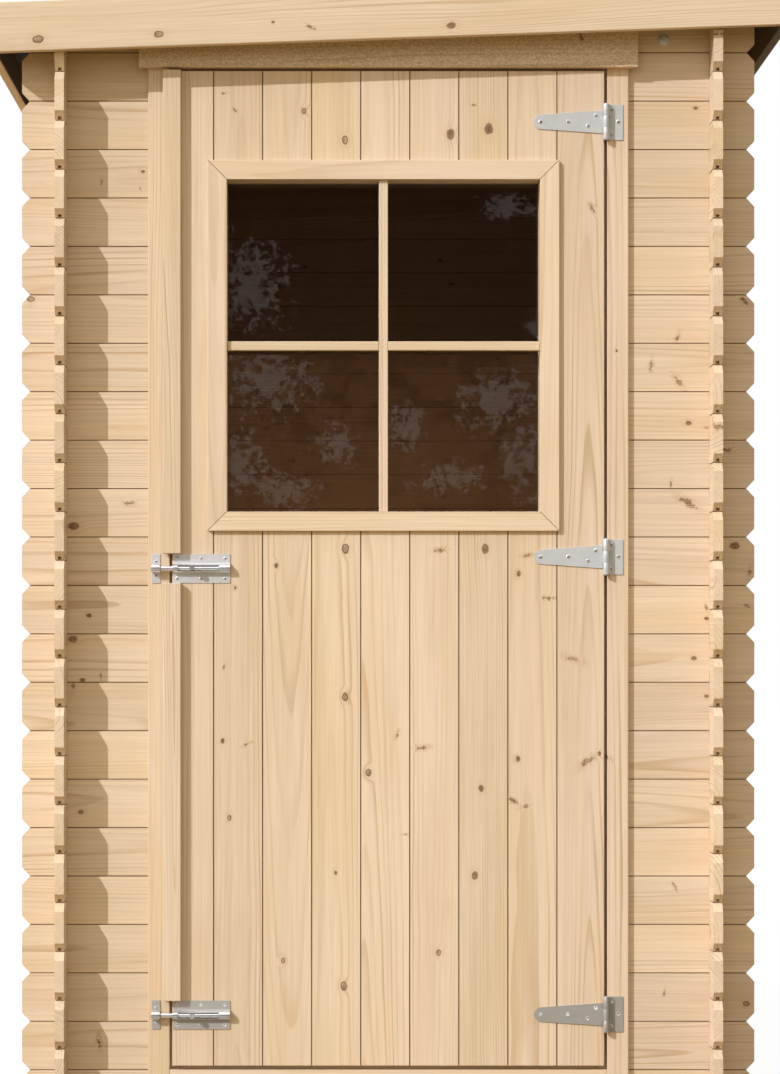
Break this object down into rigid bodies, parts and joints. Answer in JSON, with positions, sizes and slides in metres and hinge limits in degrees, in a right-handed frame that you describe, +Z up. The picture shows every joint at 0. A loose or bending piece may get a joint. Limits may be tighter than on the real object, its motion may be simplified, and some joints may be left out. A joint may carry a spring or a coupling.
{
  "type": "garden shed",
  "caption": "Pent-roof wooden garden shed of interlocking planks with an outward-opening boarded door, barred window, tee hinges and sliding barrel bolts.",
  "frame": {"origin": "on the ground, under the middle of the roof", "axes": "+Z up, -Y out of the door side, +X to the right seen from the front, Y along the ridge-less roof"},
  "size_m": [1.374, 2.466, 1.9657],
  "materials": {
    "walls": "planed, untreated",
    "frame": "planed, untreated",
    "floor": "sawn",
    "roof_boards": "planed, untreated",
    "fascia": "planed, untreated",
    "door": "planed, untreated",
    "window_wood": "planed, untreated",
    "felt": "mineral felt",
    "glass": "clear",
    "galvanised_steel": "satin zinc",
    "zinc_steel": "bright zinc"
  },
  "bodies": {
    "shed": {"front_wall_left": "walls", "front_wall_right": "walls", "front_wall_top": "walls", "back_wall": "walls", "left_wall": "walls", "right_wall": "walls", "frame_post_left": "frame", "frame_post_right": "frame", "frame_head": "frame", "door_sill": "frame", "lintel_board": "frame", "floor_panel": "floor", "floor_joists": "floor", "roof_deck": "roof_boards", "roof_felt": "felt", "fascia_front": "fascia", "fascia_back": "fascia", "fascia_left": "fascia", "fascia_right": "fascia", "hinge_leaf_top": "galvanised_steel", "hinge_leaf_middle": "galvanised_steel", "hinge_leaf_bottom": "galvanised_steel", "upper_bolt_keeper": "zinc_steel", "lower_bolt_keeper": "zinc_steel"},
    "door": {"door_boards": "door", "door_ledges": "door", "cover_strip_upper": "door", "cover_strip_lower": "door", "window_trim": "window_wood", "window_lining": "window_wood", "window_beads": "window_wood", "window_bars": "window_wood", "window_glass": "glass", "hinge_strap_top": "galvanised_steel", "hinge_strap_middle": "galvanised_steel", "hinge_strap_bottom": "galvanised_steel", "upper_bolt_case": "zinc_steel", "lower_bolt_case": "zinc_steel"},
    "upper_bolt": {"upper_bolt_rod": "zinc_steel"},
    "lower_bolt": {"lower_bolt_rod": "zinc_steel"}
  },
  "joints": [
    {"name": "door_hinge", "type": "hinge", "parent": "shed", "child": "door", "pos_m": [0.376, -1.173, 0.973], "axis": [0, 0, 1], "range_deg": [0, 160]},
    {"name": "upper_bolt_slide", "type": "slide", "parent": "door", "child": "upper_bolt", "axis": [1, 0, 0], "range_m": [-0.019, 0.036]},
    {"name": "lower_bolt_slide", "type": "slide", "parent": "door", "child": "lower_bolt", "axis": [1, 0, 0], "range_m": [-0.019, 0.036]}
  ]
}
